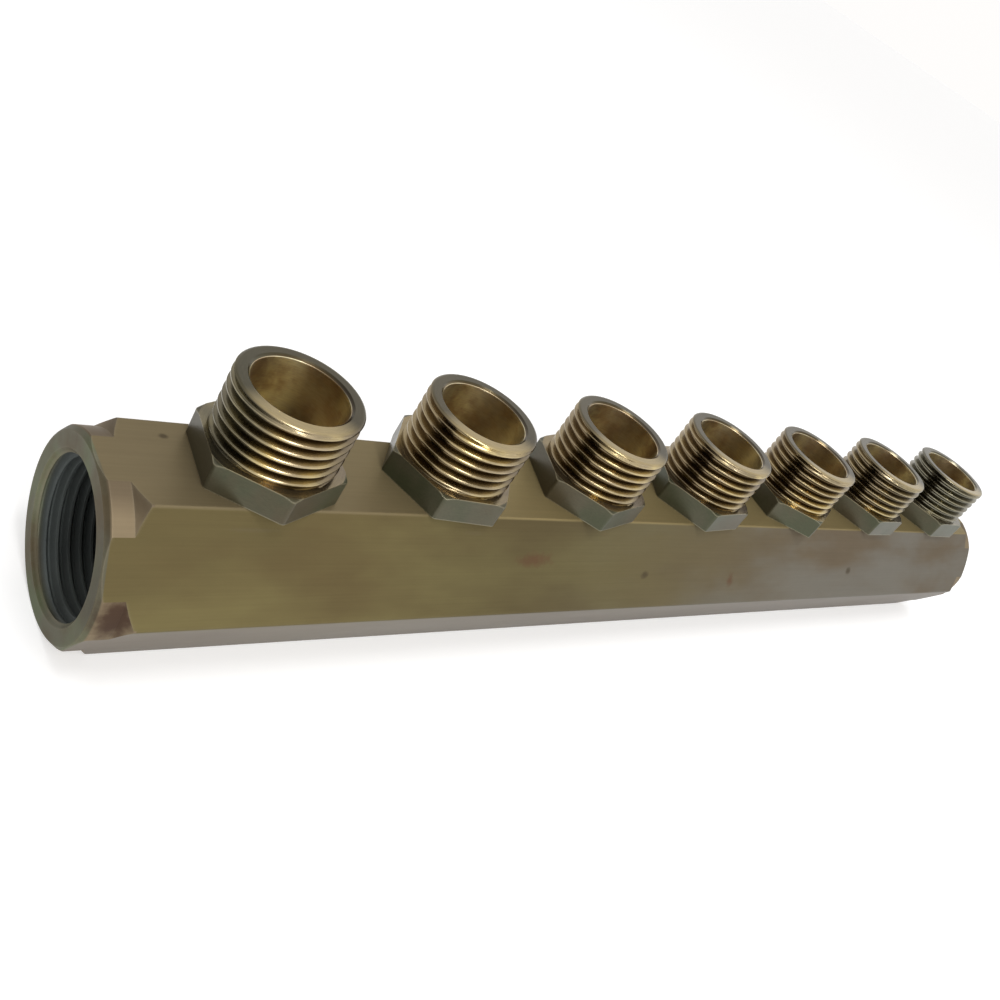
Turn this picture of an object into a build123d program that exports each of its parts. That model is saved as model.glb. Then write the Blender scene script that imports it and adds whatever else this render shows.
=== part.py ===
# A brass bar manifold: a length of hexagonal bar, bored along its axis and tapped at both
# ends, with a row of hexagon nipples screwed into its top flat. Millimetres. The origin is in
# the middle of the bottom flat, which the bar rests on, +X runs along the bar from the inlet
# and +Z points up along the nipples. Threads are plain cylinders, at their major diameter
# outside and their minor diameter inside, and the lead chamfers of the male ones are left out
# with them.
from build123d import *
from math import radians, sqrt, tan
import os

# the bar: drawn hexagonal stock with two flats level and two corners at the sides
bar_across_flats = 32.0
bar_corner_radius = 0.6
end_margin = 26.0
outlet_pitch = 36.0

# the turned ends: a cylinder that takes off the corners, then a shoulder up to the stock
turned_diameter = 33.3
turned_length = 4.0
shoulder_angle = 45.0
end_chamfer = 0.8

# the ports in the ends, for a 3/4 inch pipe thread, and the bore that joins them
port_thread_major = 26.44
port_thread_minor = 24.12
port_depth = 14.0
port_drill_angle = 118.0
main_bore = 20.0

# the nipple's outlet end, with a 1/2 inch pipe thread
outlet_thread = 20.955
outlet_thread_length = 11.0
outlet_bore = 16.0

# the nipple's hexagon, with a shallow cone that takes off its upper corners
nipple_across_flats = 22.0
nipple_hex_height = 5.0
nipple_corner_chamfer = 0.9
nipple_cone_angle = 30.0

# the nipple's inner end, with a 3/8 inch pipe thread, and its play in the bar's hole
stub_thread = 16.662
stub_length = 7.0
stub_bore = 12.0
thread_play = 0.05

# the turn in degrees at which each nipple came tight, from the inlet on
nipple_turns = (24.0, 53.0, 14.0, 5.0, 26.0, 1.0, 59.0)

bar_length = 2 * end_margin + outlet_pitch * (len(nipple_turns) - 1)
axis_height = bar_across_flats / 2


def corner_of(across_flats):
    """The distance from a hexagon's centre to its corner."""
    return across_flats / sqrt(3)


def hexagon_stock(across_flats, length, corner_radius=0):
    """Hexagonal bar that stands on the XY plane with a corner at +X, its corners softened."""
    section = RegularPolygon(corner_of(across_flats), 6)
    if corner_radius:
        section = fillet(section.vertices(), corner_radius)
    return extrude(section, length)


def turned(*outline):
    """A solid turned about +Z from the (radius, height) points of its half outline."""
    return revolve(Plane.XZ * make_face(Polyline(*outline, close=True)), Axis.Z)


def lathe_envelope():
    """What the lathe leaves of the standing bar: both ends turned down to a shoulder."""
    end = turned_diameter / 2
    clear = corner_of(bar_across_flats)
    shoulder = turned_length + (clear - end) / tan(radians(shoulder_angle))
    return turned(
        (0, 0),
        (end - end_chamfer, 0),
        (end, end_chamfer),
        (end, turned_length),
        (clear, shoulder),
        (clear, bar_length - shoulder),
        (end, bar_length - turned_length),
        (end, bar_length - end_chamfer),
        (end - end_chamfer, bar_length),
        (0, bar_length),
    )


def port():
    """The cut for one port, up from its mouth: countersink, tapped length and drill point."""
    mouth = port_thread_major / 2
    wall = port_thread_minor / 2
    return turned(
        (0, 0),
        (mouth, 0),
        (wall, mouth - wall),
        (wall, port_depth),
        (0, port_depth + wall / tan(radians(port_drill_angle / 2))),
    )


def nipple_hole():
    """The cut for one nipple, from the flat down into the bore."""
    return extrude(Circle(stub_thread / 2 + thread_play), -axis_height)


def nipple_places():
    """Where the nipples stand on the top flat, from the inlet on."""
    first = end_margin - bar_length / 2
    return [
        Pos(first + outlet_pitch * number, 0, bar_across_flats)
        for number in range(len(nipple_turns))
    ]


def manifold_bar():
    """The bar, made standing on its inlet end, then laid on its bottom flat and drilled."""
    stock = hexagon_stock(bar_across_flats, bar_length, bar_corner_radius)
    bar = Rot(0, 0, 90) * stock & lathe_envelope()
    bar -= extrude(Circle(main_bore / 2), bar_length)
    bar -= port()
    bar -= Pos(0, 0, bar_length) * Rot(180, 0, 0) * port()
    bar = Pos(-bar_length / 2, 0, axis_height) * Rot(0, 90, 0) * bar
    for place in nipple_places():
        bar -= place * nipple_hole()
    return bar


def nipple_hexagon():
    """The nipple's hexagon, on the XY plane, with its upper corners taken off."""
    corner = corner_of(nipple_across_flats)
    drop = nipple_corner_chamfer * tan(radians(nipple_cone_angle))
    envelope = turned(
        (0, 0),
        (corner, 0),
        (corner, nipple_hex_height - drop),
        (corner - nipple_corner_chamfer, nipple_hex_height),
        (0, nipple_hex_height),
    )
    return hexagon_stock(nipple_across_flats, nipple_hex_height) & envelope


def nipple():
    """One nipple with its hexagon on the XY plane, its outlet end up and its stub down."""
    outlet = outlet_thread / 2
    stub = stub_thread / 2
    rim = nipple_hex_height + outlet_thread_length
    threaded_ends = turned(
        (0, -stub_length),
        (stub, -stub_length),
        (stub, 0),
        (outlet, 0),
        (outlet, rim),
        (0, rim),
    )
    wide = outlet_bore / 2
    narrow = stub_bore / 2
    bore = turned(
        (0, -stub_length),
        (narrow, -stub_length),
        (narrow, 0),
        (wide, 0),
        (wide, rim),
        (0, rim),
    )
    return threaded_ends + nipple_hexagon() - bore


os.makedirs("parts", exist_ok=True)
export_step(manifold_bar(), "parts/manifold_bar.step")
for number, (place, turn) in enumerate(zip(nipple_places(), nipple_turns), start=1):
    export_step(place * Rot(0, 0, turn) * nipple(), f"parts/nipple_{number}.step")
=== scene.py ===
# A brass bar manifold on a pale floor: a hexagonal bar with a tapped port in each end, and
# seven hexagon nipples screwed into its top flat. The stage, the lamps and the camera are in
# metres. The pieces are worked in millimetres, and brought to metres when they are finished.
import bmesh
import bpy
from math import cos, pi, radians, sin, sqrt, tan
from mathutils import Matrix, Vector


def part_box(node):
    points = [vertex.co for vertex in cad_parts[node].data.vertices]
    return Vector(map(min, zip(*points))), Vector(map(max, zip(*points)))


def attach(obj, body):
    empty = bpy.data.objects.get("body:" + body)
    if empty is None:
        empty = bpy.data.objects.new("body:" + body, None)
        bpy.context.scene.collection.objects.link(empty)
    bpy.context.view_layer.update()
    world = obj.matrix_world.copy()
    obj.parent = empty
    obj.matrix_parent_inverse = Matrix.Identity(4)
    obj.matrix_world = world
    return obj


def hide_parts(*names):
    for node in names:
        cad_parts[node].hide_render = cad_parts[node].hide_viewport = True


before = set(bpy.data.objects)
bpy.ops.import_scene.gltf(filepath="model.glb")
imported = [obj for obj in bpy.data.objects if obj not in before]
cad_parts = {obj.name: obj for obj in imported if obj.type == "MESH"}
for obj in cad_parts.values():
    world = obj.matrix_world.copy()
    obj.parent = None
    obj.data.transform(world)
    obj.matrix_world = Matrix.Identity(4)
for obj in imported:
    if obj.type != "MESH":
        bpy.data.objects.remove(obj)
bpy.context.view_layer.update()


# The stage: a pale studio floor that runs on out of sight. It is bright enough to the camera
# to pass for white paper, and it keeps the soft shadow under the bar.

def new_material(name):
    """A new material, its node tree and its Principled shader."""
    material = bpy.data.materials.new(name)
    material.use_nodes = True
    tree = material.node_tree
    return material, tree, tree.nodes["Principled BSDF"]


def put(tree, kind, **settings):
    """Adds a node to a tree, with its properties set by name."""
    node = tree.nodes.new(kind)
    for key, value in settings.items():
        setattr(node, key, value)
    return node


def feed(tree, socket, value):
    """Links an output to a socket, or writes a plain value on it."""
    if isinstance(value, bpy.types.NodeSocket):
        tree.links.new(value, socket)
    else:
        socket.default_value = value


def wired(tree, node, values):
    """Feeds a node's inputs by their names."""
    for label, value in values.items():
        feed(tree, node.inputs[label], value)


def maths(tree, operation, *terms):
    """One Math node, fed by outputs or plain values."""
    node = put(tree, "ShaderNodeMath", operation=operation)
    for socket, term in zip(node.inputs, terms):
        feed(tree, socket, term)
    return node.outputs[0]


def shown_directly(tree):
    """1 on rays from the camera, and on those that metal mirrors or glass lets through."""
    seen = put(tree, "ShaderNodeLightPath")
    shown = seen.outputs["Is Camera Ray"]
    for ray in ("Is Glossy Ray", "Is Transmission Ray"):
        shown = maths(tree, "MAXIMUM", shown, seen.outputs[ray])
    return shown


floor_reach = 60.0
floor_colour = (0.70, 0.70, 0.70, 1.0)
paper_lift = 0.46
floor_mesh = bpy.data.meshes.new("floor")
floor_mesh.from_pydata(
    [(x, y, 0.0) for x, y in ((-1, -1), (1, -1), (1, 1), (-1, 1))], [], [(0, 1, 2, 3)]
)
floor_mesh.transform(Matrix.Scale(floor_reach, 4))
floor = bpy.data.objects.new("floor", floor_mesh)
bpy.context.scene.collection.objects.link(floor)
floor_material, paper, shader = new_material("floor_paper")
wired(paper, shader, {
    "Base Color": floor_colour,
    "Roughness": 0.9,
    "Specular IOR Level": 0.1,
    "Emission Color": (1.0, 1.0, 1.0, 1.0),
    "Emission Strength": maths(paper, "MULTIPLY", shown_directly(paper), paper_lift),
})
floor_mesh.materials.append(floor_material)


# The light: a pale room that is dimmer on the side of the inlet end, a tall window in front of
# the bar that draws a bright column down the threads, and a soft lamp overhead.

bright_side = (0.90, -0.20, 0.38)
bright_strength = 0.86
dim_strength = 0.15
room_colour = (1.0, 0.985, 0.97, 1.0)


def vector_maths(tree, operation, *terms):
    """One Vector Math node, fed by outputs or plain vectors."""
    node = put(tree, "ShaderNodeVectorMath", operation=operation)
    for socket, term in zip(node.inputs, terms):
        feed(tree, socket, term)
    return node.outputs["Value" if operation in ("DOT_PRODUCT", "LENGTH") else "Vector"]


world = bpy.data.worlds.new("studio")
bpy.context.scene.world = world
world.use_nodes = True
room = world.node_tree
way_out = put(room, "ShaderNodeTexCoord").outputs["Generated"]
fall = put(room, "ShaderNodeMapRange", interpolation_type="SMOOTHSTEP")
wired(room, fall, {
    "Value": vector_maths(room, "DOT_PRODUCT", way_out, bright_side),
    "From Min": -0.7,
    "From Max": 0.3,
    "To Min": dim_strength,
    "To Max": bright_strength,
})
# where the camera sees the bright side, it is lifted to white
to_white = 1.0 / bright_strength - 1.0
brighter = maths(room, "MULTIPLY_ADD", shown_directly(room), to_white, 1.0)
strength = maths(room, "MULTIPLY", fall.outputs["Result"], brighter)
wired(room, room.nodes["Background"], {"Color": room_colour, "Strength": strength})


def soft_panel(name, place, aim, width, height, power):
    """A rectangular lamp at a place, turned to face another."""
    lamp = bpy.data.lights.new(name, "AREA")
    lamp.shape = "RECTANGLE"
    lamp.size = width
    lamp.size_y = height
    lamp.energy = power
    panel = bpy.data.objects.new(name, lamp)
    panel.location = place
    panel.rotation_euler = (Vector(aim) - Vector(place)).to_track_quat("-Z", "Y").to_euler()
    bpy.context.scene.collection.objects.link(panel)


soft_panel(
    "window", place=(-0.30, -0.90, 0.50), aim=(-0.05, 0.0, 0.50), width=0.13, height=0.9, power=6.0
)
soft_panel(
    "overhead", place=(-0.10, -0.30, 1.10), aim=(0.0, 0.0, 0.03), width=0.3, height=0.3, power=3.0
)


# The camera: close to the inlet end and above it, looking along the bar, and tipped on its
# side so that the bar lies across the picture. It has the place and lens of the photograph.

camera_place = Vector((-0.1884, -0.1076, 0.1267))
camera_aim = Vector((-0.06466, -0.00764, 0.03477))
camera_roll = radians(-34.63)
camera_lens = 37.19

camera_data = bpy.data.cameras.new("camera")
camera_data.sensor_width = 36.0
camera_data.lens = camera_lens
camera_data.clip_start = 0.005
camera = bpy.data.objects.new("camera", camera_data)
level = (camera_aim - camera_place).to_track_quat("-Z", "Y").to_matrix()
camera.matrix_world = Matrix.Translation(camera_place) @ (
    level @ Matrix.Rotation(-camera_roll, 3, "Z")
).to_4x4()
bpy.context.scene.collection.objects.link(camera)
bpy.context.scene.camera = camera
bpy.context.scene.view_settings.view_transform = "Standard"


# The screw threads: 14 turns to the inch, cut with rounded crests and roots. One node tree
# makes a solid threaded plug, which is a nipple's outer end, or the tap that cuts a port.

def eased(tree, value, low, high):
    """A smooth step from 0 at low to 1 at high."""
    node = put(tree, "ShaderNodeMapRange", interpolation_type="SMOOTHSTEP")
    for socket, term in zip(node.inputs, (value, low, high)):
        feed(tree, socket, term)
    return node.outputs[0]


def threaded_plug_tree():
    """The node tree of a closed threaded plug that stands on the XY plane."""
    tree = bpy.data.node_groups.new("threaded_plug", "GeometryNodeTree")
    lengths = (
        "Crest Radius", "Root Radius", "Pitch", "Length", "Plain Start", "Plain End", "Run-out"
    )
    for label in lengths:
        tree.interface.new_socket(label, in_out="INPUT", socket_type="NodeSocketFloat")
    for label in ("Segments", "Rows per Pitch"):
        tree.interface.new_socket(label, in_out="INPUT", socket_type="NodeSocketInt")
    tree.interface.new_socket("Material", in_out="INPUT", socket_type="NodeSocketMaterial")
    tree.interface.new_socket("Geometry", in_out="OUTPUT", socket_type="NodeSocketGeometry")
    given = put(tree, "NodeGroupInput").outputs
    crest, root, pitch, length = (given[label] for label in lengths[:4])
    plain_start, plain_end, run_out = (given[label] for label in lengths[4:])

    # a sheet as long as the thread and one pitch more, with its rows along the helix
    turns = maths(tree, "ADD", maths(tree, "CEIL", maths(tree, "DIVIDE", length, pitch)), 1.0)
    rows = maths(tree, "MULTIPLY", turns, given["Rows per Pitch"])
    sheet = put(tree, "GeometryNodeMeshGrid")
    wired(tree, sheet, {
        "Size X": 1.0,
        "Size Y": 1.0,
        "Vertices X": maths(tree, "ADD", given["Segments"], 1.0),
        "Vertices Y": maths(tree, "ADD", rows, 1.0),
    })
    place = put(tree, "ShaderNodeSeparateXYZ")
    feed(tree, place.inputs[0], put(tree, "GeometryNodeInputPosition").outputs[0])
    around = maths(tree, "ADD", place.outputs["X"], 0.5)
    along = maths(tree, "MULTIPLY", maths(tree, "ADD", place.outputs["Y"], 0.5), turns)
    climb = maths(tree, "SUBTRACT", maths(tree, "ADD", along, around), 1.0)
    height = maths(tree, "MAXIMUM", maths(tree, "MULTIPLY", climb, pitch), 0.0)
    height = maths(tree, "MINIMUM", height, length)

    # the groove, deepest halfway between two crests, and faded out towards the plain ends
    crest_end, root_start = 0.08, 0.9
    phase = maths(tree, "FRACT", along)
    ridge = maths(tree, "ABSOLUTE", maths(tree, "MULTIPLY_ADD", phase, 2.0, -1.0))
    groove = eased(tree, maths(tree, "SUBTRACT", 1.0, ridge), crest_end, root_start)
    cut_in = eased(tree, height, plain_start, maths(tree, "ADD", plain_start, run_out))
    to_end = maths(tree, "SUBTRACT", maths(tree, "SUBTRACT", length, plain_end), height)
    cut_out = eased(tree, to_end, 0.0, run_out)
    depth = maths(tree, "MULTIPLY", groove, maths(tree, "MULTIPLY", cut_in, cut_out))
    drop = maths(tree, "MULTIPLY", depth, maths(tree, "SUBTRACT", crest, root))
    radius = maths(tree, "SUBTRACT", crest, drop)
    angle = maths(tree, "MULTIPLY", around, 2 * pi)
    spot = put(tree, "ShaderNodeCombineXYZ")
    wired(tree, spot, {
        "X": maths(tree, "MULTIPLY", radius, maths(tree, "COSINE", angle)),
        "Y": maths(tree, "MULTIPLY", radius, maths(tree, "SINE", angle)),
        "Z": height,
    })
    wrapped = put(tree, "GeometryNodeSetPosition")
    wired(tree, wrapped, {"Geometry": sheet.outputs["Mesh"], "Position": spot.outputs[0]})

    # a flat disc closes each end, and the seams are sewn
    sewn_gap = 0.002
    disc = put(tree, "GeometryNodeMeshCircle", fill_type="TRIANGLE_FAN")
    wired(tree, disc, {"Vertices": given["Segments"], "Radius": crest})
    lift = put(tree, "ShaderNodeCombineXYZ")
    wired(tree, lift, {"Z": length})
    lid = put(tree, "GeometryNodeTransform")
    wired(tree, lid, {"Geometry": disc.outputs["Mesh"], "Translation": lift.outputs[0]})
    whole = put(tree, "GeometryNodeJoinGeometry")
    for part in (wrapped, disc, lid):
        tree.links.new(part.outputs[0], whole.inputs[0])
    sewn = put(tree, "GeometryNodeMergeByDistance")
    wired(tree, sewn, {"Geometry": whole.outputs[0], "Distance": sewn_gap})
    real = put(tree, "GeometryNodeRealizeInstances")
    tree.links.new(sewn.outputs[0], real.inputs[0])
    coated = put(tree, "GeometryNodeSetMaterial")
    wired(tree, coated, {"Geometry": real.outputs[0], "Material": given["Material"]})
    tree.links.new(coated.outputs[0], put(tree, "NodeGroupOutput").inputs[0])
    return tree


def placed(piece, *moves):
    """Moves a piece's mesh, the last move first, and leaves its object at the origin."""
    for move in reversed(moves):
        piece.data.transform(move)
    piece.data.update()
    piece.data.update_tag()
    return piece


def settled(piece):
    """Turns what a piece's modifiers make into its plain mesh."""
    bpy.context.view_layer.update()
    ready = piece.evaluated_get(bpy.context.evaluated_depsgraph_get())
    mesh = bpy.data.meshes.new_from_object(ready)
    piece.modifiers.clear()
    piece.data = mesh
    return piece


def piece_of(name, mesh):
    """A new object in the scene that holds a mesh."""
    piece = bpy.data.objects.new(name, mesh)
    bpy.context.scene.collection.objects.link(piece)
    return piece


def faced_outwards(mesh, sew=1e-7):
    """Sews a mesh's doubled points and turns its faces outwards."""
    work = bmesh.new()
    work.from_mesh(mesh)
    bmesh.ops.remove_doubles(work, verts=work.verts, dist=sew)
    bmesh.ops.recalc_face_normals(work, faces=work.faces)
    work.to_mesh(mesh)
    work.free()


inch = 25.4
thread_pitch = inch / 14
rows_per_pitch = 14
round_segments = 112
thread_tree = threaded_plug_tree()


def threaded_plug(name, crest, root, length, plain_start, plain_end, run_out):
    """A closed plug with an external thread, its foot on the XY plane, in millimetres."""
    plug = piece_of(name, bpy.data.meshes.new(name))
    threading = plug.modifiers.new("thread", "NODES")
    threading.node_group = thread_tree
    wanted = {
        "Crest Radius": crest,
        "Root Radius": root,
        "Pitch": thread_pitch,
        "Length": length,
        "Plain Start": plain_start,
        "Plain End": plain_end,
        "Run-out": run_out,
        "Segments": round_segments,
        "Rows per Pitch": rows_per_pitch,
    }
    for socket in thread_tree.interface.items_tree:
        if socket.item_type == "SOCKET" and socket.name in wanted:
            threading[socket.identifier] = wanted[socket.name]
    settled(plug)
    faced_outwards(plug.data)
    return plug


def turned(name, outline, segments=round_segments):
    """A closed solid turned about Z from the (radius, height) points of its half outline."""
    work = bmesh.new()
    rings = []
    for radius, height in outline:
        count = segments if radius > 0 else 1
        spokes = [2 * pi * number / count for number in range(count)]
        rings.append([work.verts.new((radius * cos(a), radius * sin(a), height)) for a in spokes])
    for low, high in zip(rings, rings[1:]):
        for number in range(segments):
            corners = [low[number % len(low)], low[(number + 1) % len(low)]]
            corners += [high[(number + 1) % len(high)], high[number % len(high)]]
            corners = list(dict.fromkeys(corners))
            if len(corners) > 2:
                work.faces.new(corners)
    mesh = bpy.data.meshes.new(name)
    work.to_mesh(mesh)
    work.free()
    faced_outwards(mesh)
    return piece_of(name, mesh)


def rounded(before, corner, after, radius, steps=4):
    """Points that round the corner of a half outline, between its two neighbours."""
    corner = Vector(corner)
    to_before = (Vector(before) - corner).normalized()
    to_after = (Vector(after) - corner).normalized()
    half = to_before.angle(to_after) / 2
    middle = corner + (to_before + to_after).normalized() * radius / sin(half)
    start = corner + to_before * radius / tan(half) - middle
    end = corner + to_after * radius / tan(half) - middle
    return [tuple(middle + start.slerp(end, step / steps) * radius) for step in range(steps + 1)]


def worked(piece, tool, operation):
    """Cuts, trims or joins a piece with a tool, which is used up."""
    step = piece.modifiers.new("step", "BOOLEAN")
    step.operation = operation
    step.solver = "EXACT"
    step.object = tool
    settled(piece)
    bpy.data.objects.remove(tool)
    work = bmesh.new()
    work.from_mesh(piece.data)
    sliver = 0.001
    bmesh.ops.remove_doubles(work, verts=work.verts, dist=sliver)
    bmesh.ops.dissolve_degenerate(work, edges=work.edges, dist=sliver)
    gaps = [edge for edge in work.edges if edge.is_boundary]
    if gaps:
        bmesh.ops.holes_fill(work, edges=gaps, sides=0)
    work.to_mesh(piece.data)
    work.free()
    return piece


def hexagon(name, across_flats, corner_radius, low, high):
    """A hexagonal bar along Z, with rounded corners, one of them at +X."""
    middle_reach = across_flats / sqrt(3) - corner_radius / cos(radians(30))
    corner_steps = 6
    outline = []
    for corner in range(6):
        centre = Vector((cos(corner * pi / 3), sin(corner * pi / 3))) * middle_reach
        for step in range(corner_steps + 1):
            spoke = pi / 3 * (corner + step / corner_steps - 0.5)
            outline.append(centre + Vector((cos(spoke), sin(spoke))) * corner_radius)
    work = bmesh.new()
    foot = [work.verts.new((x, y, low)) for x, y in outline]
    top = [work.verts.new((x, y, high)) for x, y in outline]
    work.faces.new(foot[::-1])
    work.faces.new(top)
    for number in range(len(outline)):
        ahead = (number + 1) % len(outline)
        work.faces.new((foot[number], foot[ahead], top[ahead], top[number]))
    mesh = bpy.data.meshes.new(name)
    work.to_mesh(mesh)
    work.free()
    return piece_of(name, mesh)


def finished(piece, crease):
    """Takes a piece from millimetres to metres and shades it smooth up to a crease angle."""
    work = bmesh.new()
    work.from_mesh(piece.data)
    sliver = 0.002
    bmesh.ops.remove_doubles(work, verts=work.verts, dist=sliver)
    bmesh.ops.dissolve_degenerate(work, edges=work.edges, dist=sliver)
    work.to_mesh(piece.data)
    work.free()
    piece.data.shade_smooth()
    piece.data.set_sharp_from_angle(angle=crease)
    weights = piece.modifiers.new("weights", "WEIGHTED_NORMAL")
    weights.keep_sharp = True
    weights.weight = 100
    settled(piece)
    return placed(piece, Matrix.Scale(0.001, 4))


# The bar: drawn hexagonal brass, 32 mm across flats. Its ends are turned down to take off the
# corners, tapped for a 3/4 inch pipe and joined by a bore, and seven holes run down into it
# from the top flat. It is worked in millimetres, standing on its inlet end.

bar_low, bar_high = (1000 * Vector(corner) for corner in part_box("manifold_bar"))
bar_length = bar_high.x - bar_low.x
bar_flats = bar_high.z - bar_low.z
axis_height = bar_flats / 2
bar_corner_radius = 0.6
turned_radius = 33.3 / 2
turned_length = 4.0
end_chamfer = 0.8
edge_round = 0.25
port_crest = 26.44 / 2
port_wall = 24.12 / 2
port_depth = 14.0
port_drill_angle = radians(118)
bore_radius = 10.0
overrun = 1.0
fine_segments = 192

bar = hexagon("bar", bar_flats, bar_corner_radius, -overrun, bar_length + overrun)
placed(bar, Matrix.Rotation(radians(90), 4, "Z"))

# the lathe takes off the corners at both ends, with a 45 degree shoulder behind
clear_radius = bar_flats / sqrt(3) + overrun
shoulder_end = turned_length + clear_radius - turned_radius
end_points = [
    (0, 0),
    (turned_radius - end_chamfer, 0),
    (turned_radius, end_chamfer),
    (turned_radius, turned_length),
    (clear_radius, shoulder_end),
]
end_outline = [
    end_points[0],
    *rounded(*end_points[0:3], edge_round),
    *rounded(*end_points[1:4], edge_round),
    *end_points[3:],
]
lathe_outline = end_outline + [(r, bar_length - x) for r, x in reversed(end_outline)]
worked(bar, turned("lathe", lathe_outline, fine_segments), "INTERSECT")

# the drills leave a countersunk port in each end and the bore between them
countersink = port_crest - port_wall
drill_cone = (port_wall - bore_radius) / tan(port_drill_angle / 2)
port_outline = [
    (0, -overrun),
    (port_crest + overrun, -overrun),
    (port_wall, countersink),
    (port_wall, port_depth),
    (bore_radius, port_depth + drill_cone),
]
passage_outline = port_outline + [(r, bar_length - x) for r, x in reversed(port_outline)]
worked(bar, turned("passage", passage_outline), "DIFFERENCE")

# a tap cuts the thread in each port, and then the bar is laid down along X
tap_start = 0.7
tap_stop = 0.5
tap_clearance = 0.04
for turn_over in (False, True):
    tap = threaded_plug(
        "tap",
        crest=port_crest,
        root=port_wall - tap_clearance,
        length=port_depth - tap_stop - tap_start,
        plain_start=0.0,
        plain_end=1.0,
        run_out=thread_pitch,
    )
    placed(tap, Matrix.Translation((0, 0, tap_start)))
    if turn_over:
        placed(tap, Matrix.Translation((0, 0, bar_length)), Matrix.Rotation(pi, 4, "X"))
    worked(bar, tap, "DIFFERENCE")
placed(bar, Matrix.Translation((bar_low.x, 0, axis_height)), Matrix.Rotation(radians(90), 4, "Y"))

# seven holes for the nipples' stubs
nipple_count = 7
outlet_pitch = 36.0
nipple_places = [
    Vector((outlet_pitch * (number - (nipple_count - 1) / 2), 0, bar_flats))
    for number in range(nipple_count)
]
stub_radius = 16.662 / 2
hole_play = 0.05
hole_segments = 96
hole_outline = [
    (0, -axis_height),
    (stub_radius + hole_play, -axis_height),
    (stub_radius + hole_play, overrun),
    (0, overrun),
]
for place in nipple_places:
    hole = turned("hole", hole_outline, hole_segments)
    placed(hole, Matrix.Translation(place))
    worked(bar, hole, "DIFFERENCE")
finished(bar, crease=radians(13))


def shader_group(name, given, results):
    """An empty shader node group: its tree, its inputs' outputs and its outputs' inputs."""
    tree = bpy.data.node_groups.new(name, "ShaderNodeTree")
    kinds = {"value": "NodeSocketFloat", "vector": "NodeSocketVector", "colour": "NodeSocketColor"}
    for label, kind in given.items():
        tree.interface.new_socket(label, in_out="INPUT", socket_type=kinds[kind])
    for label, kind in results.items():
        tree.interface.new_socket(label, in_out="OUTPUT", socket_type=kinds[kind])
    return tree, put(tree, "NodeGroupInput").outputs, put(tree, "NodeGroupOutput").inputs


def grouped(tree, group, **values):
    """Places a node group, feeds its inputs by name and gives its outputs."""
    node = put(tree, "ShaderNodeGroup", node_tree=group)
    for label, value in values.items():
        feed(tree, node.inputs[label.replace("_", " ")], value)
    return node.outputs


def mixed(tree, share, first, second):
    """A colour between two colours."""
    node = put(tree, "ShaderNodeMix", data_type="RGBA", clamp_factor=True)
    feed(tree, node.inputs[0], share)
    feed(tree, node.inputs[6], first)
    feed(tree, node.inputs[7], second)
    return node.outputs[2]


def cloudy(tree, vector, scale, detail=3.0, roughness=0.55):
    """Soft noise between 0 and 1."""
    node = put(tree, "ShaderNodeTexNoise")
    wired(tree, node, {
        "Vector": vector,
        "Scale": scale,
        "Detail": detail,
        "Roughness": roughness,
    })
    return node.outputs[0]


def times(tree, *terms):
    """The product of outputs or plain values."""
    product = terms[0]
    for term in terms[1:]:
        product = maths(tree, "MULTIPLY", product, term)
    return product


def millimetres(tree):
    """The place on the object in millimetres, and its three numbers."""
    place = put(tree, "ShaderNodeTexCoord").outputs["Object"]
    place = vector_maths(tree, "MULTIPLY", place, (1000, 1000, 1000))
    apart = put(tree, "ShaderNodeSeparateXYZ")
    feed(tree, apart.inputs[0], place)
    return place, apart.outputs["X"], apart.outputs["Y"], apart.outputs["Z"]


def vector_of(tree, *sides):
    """A vector from three outputs or plain values."""
    whole = put(tree, "ShaderNodeCombineXYZ")
    for socket, side in zip(whole.inputs, sides):
        feed(tree, socket, side)
    return whole.outputs[0]


def length_of(tree, *sides):
    """The length of a vector with these sides."""
    return vector_maths(tree, "LENGTH", vector_of(tree, *sides))


# Tarnish lies on brass in clouds of three tones, which run into each other. The third tone's
# clouds come from another place in the same noise.
second_tone_span = (0.38, 0.62)
third_tone_span = (0.45, 0.7)
elsewhere = (71.0, 37.0, 13.0)
tarnish, given, results = shader_group(
    "tarnish",
    {"Place": "vector", "Cloud Size": "value", "First": "colour", "Second": "colour",
     "Third": "colour"},
    {"Color": "colour", "Cloud": "value"},
)
cloud_scale = maths(tarnish, "DIVIDE", 1.0, given["Cloud Size"])
broad = cloudy(tarnish, given["Place"], cloud_scale, detail=4.0)
shifted = vector_maths(tarnish, "ADD", given["Place"], elsewhere)
other = cloudy(tarnish, shifted, cloud_scale, detail=4.0)
tone = mixed(tarnish, eased(tarnish, broad, *second_tone_span), given["First"], given["Second"])
tone = mixed(tarnish, eased(tarnish, other, *third_tone_span), tone, given["Third"])
feed(tarnish, results["Color"], tone)
feed(tarnish, results["Cloud"], broad)

# The marks that a die, a saw or a lathe leaves: fine lines that run along the first axis.
tool_marks, given, results = shader_group(
    "tool_marks", {"Lie": "vector", "Line Width": "value"}, {"Lines": "value"}
)
line_scale = maths(tool_marks, "DIVIDE", 1.0, given["Line Width"])
feed(tool_marks, results["Lines"], cloudy(tool_marks, given["Lie"], line_scale, detail=2.0))

# Edges are rubbed bright by handling, and their brightness is partly a painted highlight. An edge
# is where a rounded normal leaves the face's own.
edge_blend_span = (0.995, 0.93)
worn_highlit_edges, given, results = shader_group("worn_highlit_edges", {"Width": "value"}, {"Edge": "value"})
rounding = put(worn_highlit_edges, "ShaderNodeBevel", samples=6)
feed(worn_highlit_edges, rounding.inputs["Radius"], given["Width"])
own_normal = put(worn_highlit_edges, "ShaderNodeNewGeometry").outputs["Normal"]
alike = vector_maths(worn_highlit_edges, "DOT_PRODUCT", rounding.outputs[0], own_normal)
feed(worn_highlit_edges, results["Edge"], eased(worn_highlit_edges, alike, *edge_blend_span))

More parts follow.
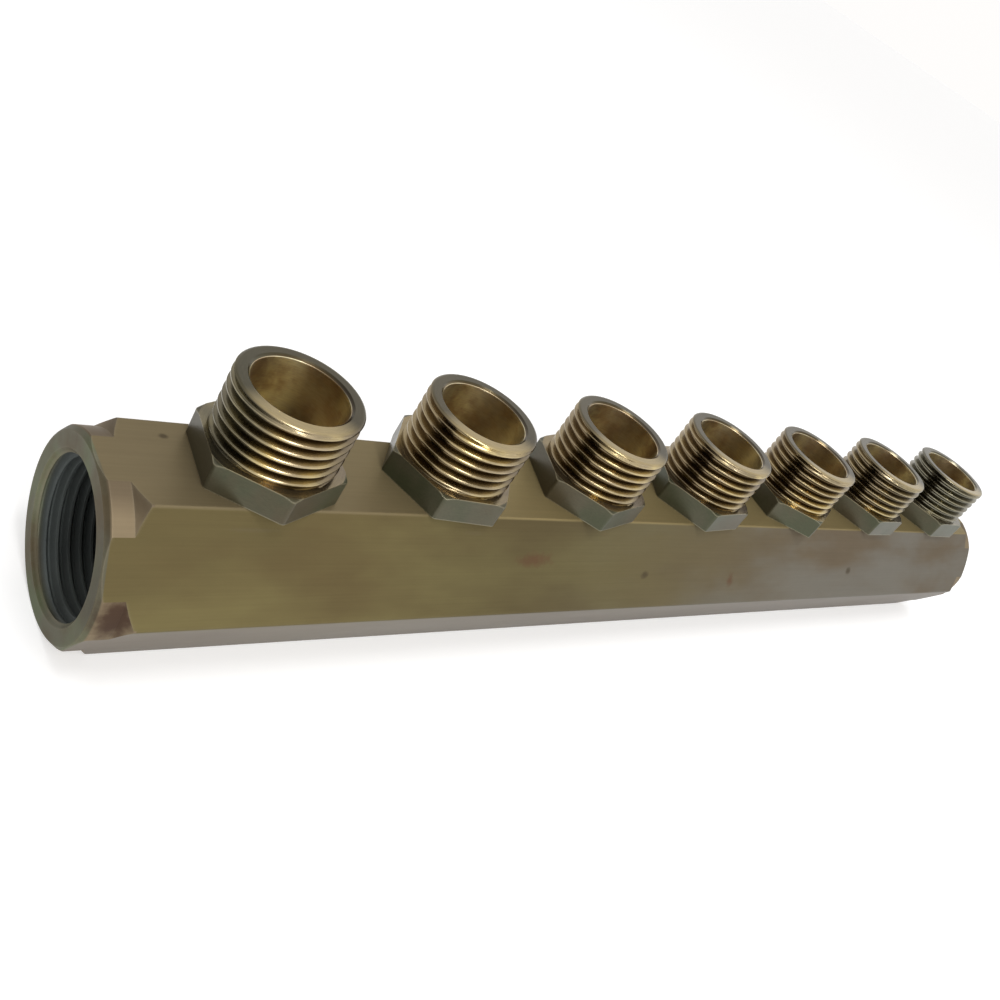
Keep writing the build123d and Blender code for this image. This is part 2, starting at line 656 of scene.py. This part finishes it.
# A stain or a nick has a place and a size along each axis, and a ragged edge.
stain_scale = 0.7
stain_span = (1.2, 0.5)
stain, given, results = shader_group(
    "stain",
    {"Place": "vector", "Middle": "vector", "Reach": "vector", "Ragged": "value"},
    {"Mask": "value"},
)
away = vector_maths(stain, "SUBTRACT", given["Place"], given["Middle"])
share = vector_maths(stain, "DIVIDE", away, given["Reach"])
ragged = times(stain, cloudy(stain, given["Place"], stain_scale), given["Ragged"])
distance = maths(stain, "ADD", vector_maths(stain, "LENGTH", share), ragged)
feed(stain, results["Mask"], eased(stain, distance, *stain_span))

# The bar's finish, with its places in millimetres. The flats are olive and brown from the
# inlet on, then duller, then a painted grazing sheen turns them rosy and grey towards the far end.
drawn_brass, tree, shader = new_material("drawn_brass")
place, along, across, up = millimetres(tree)
olive = (0.158, 0.131, 0.056, 1)
deep_olive = (0.119, 0.095, 0.042, 1)
brown = (0.115, 0.087, 0.039, 1)
dull_olive = (0.066, 0.056, 0.030, 1)
sheen_rosy = (0.128, 0.099, 0.064, 1)
sheen_grey = (0.160, 0.148, 0.122, 1)
dulling_span = (-100.0, -50.0)
near_to_sheen_span = (-60.0, 60.0)
drawn_out = vector_maths(tree, "MULTIPLY", place, (0.4, 1, 1))
near_end = grouped(
    tree, tarnish, Place=drawn_out, Cloud_Size=24.0, First=olive, Second=brown, Third=deep_olive
)
# painted reflection: the far end's rosy grey tones stand in for the sheen of a grazing view
far_end_sheen = grouped(
    tree, tarnish, Place=drawn_out, Cloud_Size=20.0, First=sheen_rosy, Second=sheen_grey, Third=sheen_grey
)
dulled = times(tree, eased(tree, along, *dulling_span), 0.33)
near_tone = mixed(tree, dulled, near_end["Color"], dull_olive)
colour = mixed(tree, eased(tree, along, *near_to_sheen_span), near_tone, far_end_sheen["Color"])

# the top flat is painted paler, painted light that lifts the shade the nipples cast on it, and is
# brown at its inlet end; the flats below the middle are pale too, a painted sheen
top_brown = (0.180, 0.143, 0.080, 1)
top_lit_olive = (0.255, 0.200, 0.094, 1)
pale_rosy_sheen = (0.235, 0.205, 0.175, 1)
brown_to_olive_span = (-108.0, -48.0)
on_top = eased(tree, up, bar_flats - 0.4, bar_flats - 0.05)
below_middle = eased(tree, up, axis_height - 0.3, axis_height - 1.0)
# painted light: the top flat's paler tones lift the shade between the nipples
top_lit_colour = mixed(tree, eased(tree, along, *brown_to_olive_span), top_brown, top_lit_olive)
colour = mixed(tree, on_top, colour, top_lit_colour)
# painted sheen: the flats below the middle are painted pale, as a grazing view shows them
colour = mixed(tree, times(tree, below_middle, 0.75), colour, pale_rosy_sheen)

# the turned corners are brighter than the drawn flats, partly fresh-cut brass and partly a painted
# highlight, which gives way to brown near the top. They are where the surface faces halfway between
# two flats.
fresh_and_highlight = (0.225, 0.175, 0.108, 1)
turned_fade_brown = (0.135, 0.103, 0.066, 1)
sixth_turn = pi / 3
between_flats_span = (0.12, 0.24)
shoulder_reach = turned_length + 2.2
above_axis = maths(tree, "SUBTRACT", up, axis_height)
radius = length_of(tree, across, above_axis, 0.0)
to_end = maths(tree, "SUBTRACT", bar_length / 2, maths(tree, "ABSOLUTE", along))
way = put(tree, "ShaderNodeSeparateXYZ")
feed(tree, way.inputs[0], put(tree, "ShaderNodeTexCoord").outputs["Normal"])
way_round = maths(tree, "ARCTAN2", way.outputs["Y"], way.outputs["Z"])
sixths = maths(tree, "DIVIDE", way_round, sixth_turn)
off_flat = maths(tree, "SUBTRACT", sixths, maths(tree, "ROUND", sixths))
turned_corner = times(
    tree,
    eased(tree, maths(tree, "ABSOLUTE", off_flat), *between_flats_span),
    eased(tree, to_end, shoulder_reach, shoulder_reach - 0.1),
)
# painted highlight: brighter low on the turned corners, browner near the top
highlight_fade_top = eased(tree, up, bar_flats - 3.0, bar_flats - 0.4)
turned_highlight_colour = mixed(tree, times(tree, highlight_fade_top, 0.8), fresh_and_highlight, turned_fade_brown)
colour = mixed(tree, turned_corner, colour, turned_highlight_colour)

# the end faces are greener, with a painted shade that browns their upper front, and their tone runs
# a little way into the ports, which are painted dark
face_green = (0.142, 0.160, 0.092, 1)
face_grey = (0.152, 0.147, 0.104, 1)
face_brown = (0.118, 0.094, 0.056, 1)
front_shade_brown = (0.088, 0.074, 0.054, 1)
passage_shade = (0.125, 0.140, 0.135, 1)
passage_deep_shade = (0.040, 0.046, 0.044, 1)
face = eased(tree, to_end, end_chamfer - 0.05, end_chamfer - 0.25)
face_tones = grouped(
    tree, tarnish, Place=place, Cloud_Size=11.0,
    First=face_green, Second=face_grey, Third=face_brown
)
# painted shade: the upper front of each end face is browned
at_front = eased(tree, across, -7.0, -14.0)
upper_half = eased(tree, up, 10.0, 18.0)
front_painted_shade = times(tree, at_front, upper_half, 0.7)
face_colour = mixed(tree, front_painted_shade, face_tones["Color"], front_shade_brown)
in_port = eased(tree, radius, port_crest + 0.3, port_crest + 0.1)
at_mouth = times(tree, in_port, eased(tree, to_end, 2.2, 1.4))
colour = mixed(tree, maths(tree, "MAXIMUM", face, at_mouth), colour, face_colour)
# painted shade: the ports' walls are painted dark, darkest towards the back wall
inside = times(tree, in_port, eased(tree, to_end, 0.8, 1.8))
back_wall = eased(tree, across, 1.0, 10.0)
passage = mixed(tree, times(tree, back_wall, 0.55), passage_shade, passage_deep_shade)
colour = mixed(tree, inside, colour, passage)
# the edges: rubbed bright brass, with a painted highlight
rubbed_and_highlight = (0.27, 0.235, 0.165, 1)
edges = grouped(tree, worn_highlit_edges, Width=0.0007)["Edge"]
wear_and_highlight = times(tree, edges, maths(tree, "SUBTRACT", 1.0, inside), 0.3)
colour = mixed(tree, wear_and_highlight, colour, rubbed_and_highlight)

# nicks and smears from the shop, each with its middle, reach, raggedness and colour
dark_spot = (0.060, 0.045, 0.026, 1)
rust_smear = (0.110, 0.058, 0.032, 1)
faint_line = (0.125, 0.100, 0.050, 1)
mark_strength = 0.75
marks = (
    ((-122.3, 5.7, 32.0), (1.0, 0.8, 1.0), 0.4, dark_spot),
    ((63.4, -14.8, 22.3), (1.6, 1.3, 1.3), 0.4, dark_spot),
    ((-19.7, -14.9, 22.2), (1.7, 1.3, 1.3), 0.6, dark_spot),
    ((-52.8, -13.2, 25.1), (8.0, 4.0, 2.6), 0.9, rust_smear),
    ((11.2, -15.7, 20.8), (2.0, 2.2, 4.2), 0.9, rust_smear),
    ((-69.0, -10.7, 29.4), (3.2, 1.0, 0.7), 0.6, faint_line),
    ((-34.9, -10.5, 29.7), (2.4, 1.0, 0.7), 0.6, faint_line),
    ((-112.0, -10.9, 29.2), (7.0, 1.2, 0.5), 0.6, faint_line),
)
for middle, reach, ragged, stain_colour in marks:
    mark = grouped(tree, stain, Place=place, Middle=middle, Reach=reach, Ragged=ragged)["Mask"]
    colour = mixed(tree, times(tree, mark, mark_strength), colour, stain_colour)

# old rust on the lower turned corner of the inlet end
old_rust = (0.050, 0.026, 0.018, 1)
rust_middle, rust_reach = (-130.7, -16.6, 17.0), (4.2, 5.0, 7.0)
rust = grouped(tree, stain, Place=place, Middle=rust_middle, Reach=rust_reach, Ragged=0.5)["Mask"]
colour = mixed(tree, times(tree, rust, turned_corner, 0.9), colour, old_rust)

# the die's lines run along the flats and the lathe's lines round the ends; both, and faint
# blotches, darken the colour a little
line_shade = 0.16
blotch_shade = 0.16
flat_lie = vector_of(tree, times(tree, along, 0.015), across, up)
flat_marks = grouped(tree, tool_marks, Lie=flat_lie, Line_Width=0.35)
spin = maths(tree, "ARCTAN2", across, above_axis)
turned_lie = vector_of(tree, times(tree, spin, 0.8), radius, along)
turned_marks = grouped(tree, tool_marks, Lie=turned_lie, Line_Width=0.16)
blotch_lie = vector_maths(tree, "MULTIPLY", place, (0.6, 1, 1))
blotches = cloudy(tree, blotch_lie, 0.14, detail=6.0, roughness=0.65)
line_tone = maths(tree, "MULTIPLY_ADD", flat_marks["Lines"], line_shade, 1.0 - line_shade)
line_tone = maths(tree, "MULTIPLY_ADD", blotches, blotch_shade, line_tone)
shade = put(tree, "ShaderNodeHueSaturation")
wired(tree, shade, {"Color": colour, "Value": line_tone})
marks_height = put(tree, "ShaderNodeMix", data_type="FLOAT")
feed(tree, marks_height.inputs[0], maths(tree, "MAXIMUM", turned_corner, face))
feed(tree, marks_height.inputs[2], flat_marks["Lines"])
feed(tree, marks_height.inputs[3], turned_marks["Lines"])
relief = put(tree, "ShaderNodeBump")
wired(tree, relief, {
    "Strength": 0.35,
    "Distance": 0.00003,
    "Height": marks_height.outputs[0],
})

# tarnish hides about half of the metal's shine, and more of it in the ports
gloss = maths(tree, "MULTIPLY_ADD", near_end["Cloud"], 0.25, 0.28)
gloss = maths(tree, "MULTIPLY_ADD", inside, 0.15, gloss)
wired(tree, shader, {
    "Base Color": shade.outputs["Color"],
    "Normal": relief.outputs[0],
    "Roughness": gloss,
    "Metallic": maths(tree, "MULTIPLY_ADD", inside, -0.3, 0.45),
    "Specular IOR Level": 0.15,
    "Specular Tint": (0.4, 0.4, 0.4, 1.0),
})
bar.data.materials.clear()
bar.data.materials.append(drawn_brass)
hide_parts("manifold_bar")
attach(bar, "root")


# The nipples: seven alike, machined from 22 mm hexagonal brass and screwed down on the flat,
# where each came tight at its own turn. The outer end has a 1/2 inch pipe thread.

nipple_flats = 22.0
nipple_corner_radius = 0.8
hex_height = 5.0
hex_corner_chamfer = 0.9
hex_cone_angle = radians(30)
outlet_crest = 20.955 / 2
outlet_root = 18.631 / 2
outlet_length = 11.0
rim_height = hex_height + outlet_length
rim_round = 0.7
outlet_bore = 8.0
stub_length = 7.0
stub_chamfer = 0.8
stub_bore = 6.0

# a cone takes off the upper corners of the hexagon
nipple_body = hexagon("nipple", nipple_flats, nipple_corner_radius, 0, hex_height + overrun)
hex_reach = nipple_flats / sqrt(3)
cone_slope = tan(hex_cone_angle)
cone_top = hex_reach - hex_corner_chamfer
cone_outline = [
    (0, -overrun),
    (hex_reach + overrun, -overrun),
    (hex_reach + overrun, hex_height - (hex_reach + overrun - cone_top) * cone_slope),
    (cone_top, hex_height),
    (0, hex_height),
]
worked(nipple_body, turned("cone", cone_outline, fine_segments), "INTERSECT")

# the thread starts inside the hexagon and ends past the rim, which is trimmed afterwards
thread_foot = 3.0
thread_in_hex = 0.3
plain_below_rim = 0.15
thread = threaded_plug(
    "thread",
    crest=outlet_crest,
    root=outlet_root,
    length=rim_height + overrun - thread_foot,
    plain_start=hex_height - thread_foot - thread_in_hex,
    plain_end=overrun + plain_below_rim,
    run_out=0.9,
)
placed(thread, Matrix.Translation((0, 0, thread_foot)))
worked(nipple_body, thread, "UNION")

# the stub goes down into the bar's hole
stub_outline = [
    (0, -stub_length),
    (stub_radius - stub_chamfer, -stub_length),
    (stub_radius, stub_chamfer - stub_length),
    (stub_radius, thread_foot / 2),
    (0, thread_foot / 2),
]
worked(nipple_body, turned("stub", stub_outline), "UNION")

# the rim is rounded, and what stands past it comes off
rim_skin = 0.02
rim_corner = (outlet_crest + rim_skin, rim_height)
rim_below = (outlet_crest + rim_skin, rim_height - 3 * rim_round)
rim_outline = [
    (0, -stub_length - overrun),
    (hex_reach + overrun, -stub_length - overrun),
    (hex_reach + overrun, hex_height + overrun),
    (outlet_crest + rim_skin, hex_height + overrun),
    *rounded(rim_below, rim_corner, (0, rim_height), rim_round),
    (0, rim_height),
]
worked(nipple_body, turned("rim", rim_outline), "INTERSECT")

# the bore is narrower in the stub and flared at the mouth
mouth_flare = 0.45
nipple_bore_outline = [
    (0, -stub_length - overrun),
    (stub_bore, -stub_length - overrun),
    (stub_bore, 0),
    (outlet_bore, 0),
    (outlet_bore, rim_height - mouth_flare),
    (outlet_bore + mouth_flare + overrun, rim_height + overrun),
    (0, rim_height + overrun),
]
worked(nipple_body, turned("nipple_bore", nipple_bore_outline), "DIFFERENCE")

# The nipples' finish, with its places in millimetres from each nipple's own axis and foot.
machined_brass, tree, shader = new_material("machined_brass")
place, along, across, up = millimetres(tree)
half_row = nipple_count * outlet_pitch / 2
steps = maths(tree, "DIVIDE", maths(tree, "ADD", along, half_row), outlet_pitch)
from_axis = times(tree, maths(tree, "SUBTRACT", maths(tree, "FRACT", steps), 0.5), outlet_pitch)
radius = length_of(tree, from_axis, across, 0.0)
height = maths(tree, "SUBTRACT", up, bar_flats)


def side_of(toward_x, toward_y):
    """How far a point lies to one side of its nipple's axis: 1 straight that way, -1 away."""
    lean = maths(tree, "ADD", times(tree, from_axis, toward_x), times(tree, across, toward_y))
    return maths(tree, "DIVIDE", lean, maths(tree, "MAXIMUM", radius, 0.1))


# the hexagon is greenish grey, the thread golden on its crests and brown in its grooves
hex_green = (0.056, 0.061, 0.032, 1)
hex_grey = (0.082, 0.074, 0.046, 1)
hex_brown = (0.074, 0.060, 0.033, 1)
crest_gold = (0.56, 0.45, 0.225, 1)
crest_rose = (0.40, 0.325, 0.21, 1)
crest_dull = (0.27, 0.22, 0.135, 1)
groove_brown = (0.095, 0.066, 0.032, 1)
hex_tones = grouped(
    tree, tarnish, Place=place, Cloud_Size=14.0, First=hex_green, Second=hex_grey, Third=hex_brown
)
crest_tones = grouped(
    tree, tarnish, Place=place, Cloud_Size=9.0,
    First=crest_gold, Second=crest_rose, Third=crest_dull
)
crest_share = eased(tree, radius, outlet_root + 0.15, outlet_crest - 0.2)
thread_colour = mixed(tree, crest_share, groove_brown, crest_tones["Color"])
above_hex = eased(tree, height, hex_height - 0.15, hex_height + 0.05)
colour = mixed(tree, above_hex, hex_tones["Color"], thread_colour)

# the thread's side towards the inlet carries painted shade and its side towards the far end a
# painted rosy reflection; tarnish dulls the whole of the furthest nipples
inlet_shade_green = (0.105, 0.104, 0.078, 1)
inlet_shade_brown = (0.215, 0.165, 0.098, 1)
far_reflection_rosy = (0.125, 0.100, 0.083, 1)
far_grey = (0.170, 0.168, 0.132, 1)
first_nipple_span = (-92.0, -86.0)
far_nipples_span = (45.0, 105.0)
# painted shade on the inlet side of each thread
inlet_side_shade = eased(tree, side_of(-0.95, 0.30), 0.25, 0.85)
# painted reflection: a dimmer rosy tone on the far side of each thread
far_side_reflection = eased(tree, side_of(0.90, -0.43), 0.45, 0.88)
far_nipples = eased(tree, along, *far_nipples_span)
inlet_shade_tone = mixed(tree, eased(tree, along, *first_nipple_span), inlet_shade_green, inlet_shade_brown)
colour = mixed(tree, times(tree, above_hex, inlet_side_shade, 0.75), colour, inlet_shade_tone)
colour = mixed(tree, times(tree, above_hex, far_side_reflection, 0.8), colour, far_reflection_rosy)
colour = mixed(tree, times(tree, above_hex, far_nipples, 0.8), colour, far_grey)

# the rim's front side carries a painted golden highlight; the rest of it is olive
rim_highlight_gold = (0.43, 0.345, 0.19, 1)
rim_olive = (0.075, 0.068, 0.044, 1)
on_rim = eased(tree, height, rim_height - 0.35, rim_height - 0.05)
rim_highlight_side = eased(tree, side_of(-0.35, -0.94), 0.4, 0.95)
rim_highlight_tone = mixed(tree, rim_highlight_side, rim_olive, rim_highlight_gold)
colour = mixed(tree, times(tree, on_rim, 0.85), colour, rim_highlight_tone)

# the bore is the brightest, with a painted shadow that browns one side
bore_gold = (0.95, 0.87, 0.58, 1)
bore_brown = (0.56, 0.44, 0.28, 1)
bore_olive = (0.87, 0.80, 0.55, 1)
bore_shadow_umber = (0.24, 0.165, 0.10, 1)
bore_tones = grouped(
    tree, tarnish, Place=place, Cloud_Size=5.0, First=bore_gold, Second=bore_brown, Third=bore_olive
)
in_bore = eased(tree, radius, outlet_bore + 0.12, outlet_bore + 0.02)
bore_painted_shadow = times(tree, eased(tree, side_of(0.87, 0.50), 0.72, 0.97), 0.75)
bore_colour = mixed(tree, bore_painted_shadow, bore_tones["Color"], bore_shadow_umber)
colour = mixed(tree, in_bore, colour, bore_colour)

# the hexagon's edges are rubbed and carry a painted highlight, and the lathe's fine lines run round
# everything
hex_rubbed_and_highlight = (0.30, 0.27, 0.18, 1)
edges = grouped(tree, worn_highlit_edges, Width=0.0004)["Edge"]
on_hex = maths(tree, "SUBTRACT", 1.0, above_hex)
colour = mixed(tree, times(tree, edges, on_hex, 0.6), colour, hex_rubbed_and_highlight)
spin = maths(tree, "ARCTAN2", across, from_axis)
turned_lie = vector_of(tree, times(tree, spin, 0.8), radius, height)
turned_marks = grouped(tree, tool_marks, Lie=turned_lie, Line_Width=0.15)
line_tone = maths(tree, "MULTIPLY_ADD", turned_marks["Lines"], 0.5, 0.75)
shade = put(tree, "ShaderNodeHueSaturation")
wired(tree, shade, {"Color": colour, "Value": line_tone})
relief = put(tree, "ShaderNodeBump")
wired(tree, relief, {
    "Strength": 0.4,
    "Distance": 0.00002,
    "Height": turned_marks["Lines"],
})

# clouds of tarnish dull the shine, and the bore and the hexagon are duller than the thread
gloss = maths(tree, "MULTIPLY_ADD", crest_tones["Cloud"], 0.18, 0.12)
gloss = maths(tree, "MULTIPLY_ADD", in_bore, 0.12, gloss)
gloss = maths(tree, "MULTIPLY_ADD", on_hex, 0.12, gloss)
wired(tree, shader, {
    "Base Color": shade.outputs["Color"],
    "Normal": relief.outputs[0],
    "Roughness": gloss,
    "Metallic": maths(tree, "MULTIPLY_ADD", on_hex, -0.5, 1.0),
})
nipple_body.data.materials.clear()
nipple_body.data.materials.append(machined_brass)

# each nipple came tight at its own turn, in degrees
nipple_turns = (24.0, 53.0, 14.0, 5.0, 26.0, 1.0, 59.0)
for number, (place, turn) in enumerate(zip(nipple_places, nipple_turns), start=1):
    nipple = piece_of(f"nipple_piece_{number}", nipple_body.data.copy())
    placed(nipple, Matrix.Translation(place), Matrix.Rotation(radians(turn), 4, "Z"))
    finished(nipple, crease=radians(32))
    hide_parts(f"nipple_{number}")
    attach(nipple, "root")
bpy.data.objects.remove(nipple_body)
